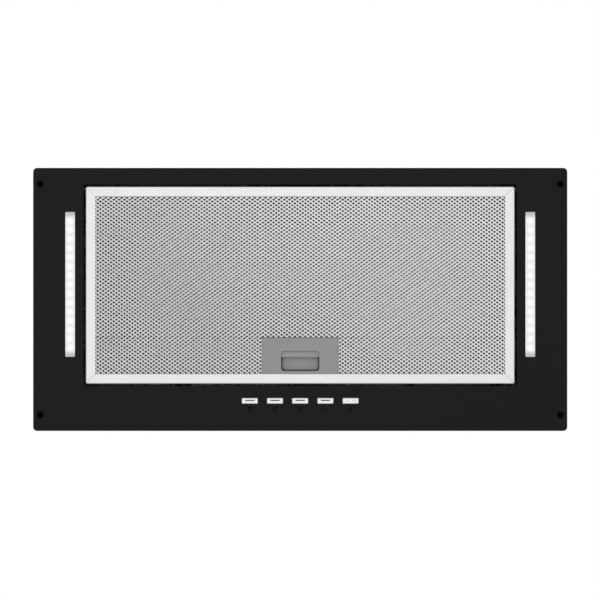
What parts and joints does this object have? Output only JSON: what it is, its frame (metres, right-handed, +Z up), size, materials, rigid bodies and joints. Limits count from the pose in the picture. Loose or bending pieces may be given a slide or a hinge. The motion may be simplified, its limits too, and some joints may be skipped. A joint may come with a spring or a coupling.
{
  "type": "range hood insert",
  "caption": "Built-in range hood insert: black flange plate with grease filter, latch, strip lamps and push buttons under a fan housing with a top duct spigot.",
  "frame": {"origin": "centre of the flange plate's upper face, where it meets the cabinet's underside", "axes": "+X along the plate's length, to the user's right; +Y from the user to the wall; +Z up, through the housing to the duct"},
  "size_m": [0.53, 0.261, 0.2361],
  "materials": {
    "black_coated_steel": "satin powder coat",
    "anodised_aluminium": "satin anodised",
    "mesh_aluminium": "expanded sheet, bright",
    "latch_grey": "fine moulded grain",
    "lamp_lens": "lit diffuser",
    "circuit_board": "white solder mask",
    "black_plastic": "moulded",
    "button_silver": "silver paint on plastic",
    "galvanised_steel": "zinc coated sheet",
    "zinc_fastener": "zinc plated",
    "spring_steel": "drawn wire",
    "ground_steel": "ground",
    "motor_paint": "satin black",
    "lamination_steel": "stacked sheets",
    "sintered_bronze": "sintered",
    "capacitor_case": "moulded",
    "grey_plastic": "moulded",
    "lead_sheath": "sheathed cable"
  },
  "bodies": {
    "hood": {"face_plate": "black_coated_steel", "plate_nuts": "zinc_fastener", "led_lens_left": "lamp_lens", "led_lens_right": "lamp_lens", "led_boards": "circuit_board", "led_holders": "black_plastic", "switch_housing": "black_plastic", "switch_board": "circuit_board", "button_springs": "spring_steel", "filter_hooks": "black_coated_steel", "latch_keeper": "galvanised_steel", "housing_shell": "galvanised_steel", "top_panel": "galvanised_steel", "housing_screws": "zinc_fastener", "outlet_collar": "black_plastic", "damper_rod": "ground_steel", "scroll_wrap": "galvanised_steel", "scroll_side_left": "galvanised_steel", "scroll_side_right": "galvanised_steel", "blower_rails": "galvanised_steel", "blower_fasteners": "zinc_fastener", "motor_stator": "lamination_steel", "motor_housing": "motor_paint", "motor_bushes": "sintered_bronze", "motor_bracket": "galvanised_steel", "motor_screws": "zinc_fastener", "capacitor": "capacitor_case", "capacitor_clip": "galvanised_steel", "led_driver": "black_plastic", "electrical_screws": "zinc_fastener", "terminal_box": "grey_plastic", "terminal_box_lid": "grey_plastic", "gland_plate": "grey_plastic", "terminal_block": "capacitor_case", "cable_grommet": "lead_sheath", "cable_gland": "black_plastic", "gland_nut": "black_plastic", "supply_lead": "lead_sheath", "motor_lead": "lead_sheath", "light_leads": "lead_sheath"},
    "filter": {"filter_frame": "anodised_aluminium", "filter_mesh_front": "mesh_aluminium", "filter_mesh_core": "mesh_aluminium", "filter_mesh_back": "mesh_aluminium", "filter_pivot_pins": "black_plastic", "latch_housing": "latch_grey", "latch_back_plate": "latch_grey", "latch_springs": "spring_steel"},
    "latch": {"latch_slider": "latch_grey", "latch_bolt": "black_plastic"},
    "fan": {"impeller": "galvanised_steel", "motor_shaft": "ground_steel", "motor_rotor": "lamination_steel"},
    "flap_front": {"damper_flap_front": "black_plastic"},
    "flap_rear": {"damper_flap_rear": "black_plastic"},
    "key_light": {"button_light": "button_silver"},
    "key_low": {"button_low": "button_silver"},
    "key_medium": {"button_medium": "button_silver"},
    "key_high": {"button_high": "button_silver"},
    "key_off": {"button_off": "button_silver"}
  },
  "joints": [
    {"name": "filter_swing", "type": "hinge", "parent": "hood", "child": "filter", "pos_m": [0, 0.1096, 0.003], "axis": [1, 0, 0], "range_deg": [0, 85]},
    {"name": "latch_slide", "type": "slide", "parent": "filter", "child": "latch", "axis": [0, 1, 0], "range_m": [0, 0.0065], "stiffness_N_per_m": 250, "springref_m": -0.006, "deforming": ["latch_springs"]},
    {"name": "fan_spin", "type": "hinge", "parent": "hood", "child": "fan", "pos_m": [0, 0.0385, 0.105], "axis": [1, 0, 0], "continuous": true},
    {"name": "flap_front_lift", "type": "hinge", "parent": "hood", "child": "flap_front", "pos_m": [0, -0.015, 0.211], "axis": [-1, 0, 0], "range_deg": [0, 78]},
    {"name": "flap_rear_lift", "type": "hinge", "parent": "hood", "child": "flap_rear", "pos_m": [0, -0.015, 0.211], "axis": [1, 0, 0], "range_deg": [0, 78]},
    {"name": "press_light", "type": "slide", "parent": "hood", "child": "key_light", "axis": [0, 0, 1], "range_m": [0, 0.003], "stiffness_N_per_m": 300, "springref_m": -0.002, "deforming": ["button_springs"]},
    {"name": "press_low", "type": "slide", "parent": "hood", "child": "key_low", "axis": [0, 0, 1], "range_m": [0, 0.003], "stiffness_N_per_m": 300, "springref_m": -0.002, "deforming": ["button_springs"]},
    {"name": "press_medium", "type": "slide", "parent": "hood", "child": "key_medium", "axis": [0, 0, 1], "range_m": [0, 0.003], "stiffness_N_per_m": 300, "springref_m": -0.002, "deforming": ["button_springs"]},
    {"name": "press_high", "type": "slide", "parent": "hood", "child": "key_high", "axis": [0, 0, 1], "range_m": [0, 0.003], "stiffness_N_per_m": 300, "springref_m": -0.002, "deforming": ["button_springs"]},
    {"name": "press_off", "type": "slide", "parent": "hood", "child": "key_off", "axis": [0, 0, 1], "range_m": [0, 0.003], "stiffness_N_per_m": 300, "springref_m": -0.002, "deforming": ["button_springs"]}
  ]
}
